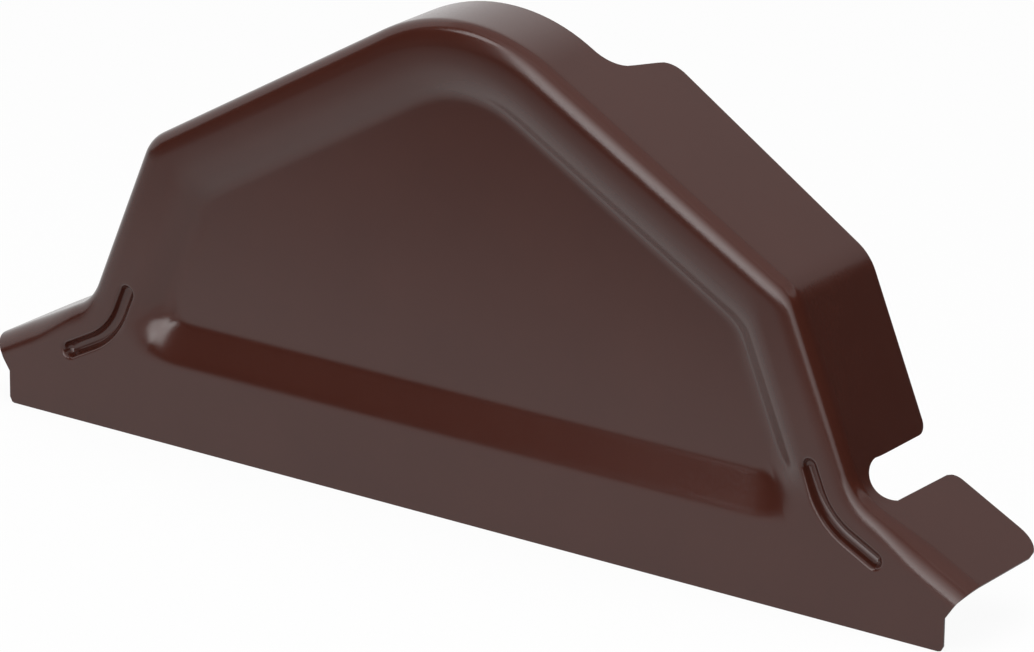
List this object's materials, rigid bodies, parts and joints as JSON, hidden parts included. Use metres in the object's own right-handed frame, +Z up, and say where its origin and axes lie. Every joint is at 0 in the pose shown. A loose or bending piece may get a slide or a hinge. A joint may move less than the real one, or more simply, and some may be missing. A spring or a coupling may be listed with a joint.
{
  "type": "ridge end cap",
  "caption": "House-shaped sheet-metal end cap for a roof ridge: recessed front panel, turned rim, skirt below and a notched flange that tucks under the ridge.",
  "frame": {"origin": "on the middle plane, level with the skirt's lower edge, midway between the front face and the flange's rear edge", "axes": "+X along the face to the right as seen from the front, +Y back along the ridge, +Z up"},
  "size_m": [0.3, 0.0412, 0.1298],
  "materials": {
    "paint": "satin chocolate brown coil coating"
  },
  "bodies": {
    "root": {"ridge_end_cap": "paint"}
  },
  "joints": []
}
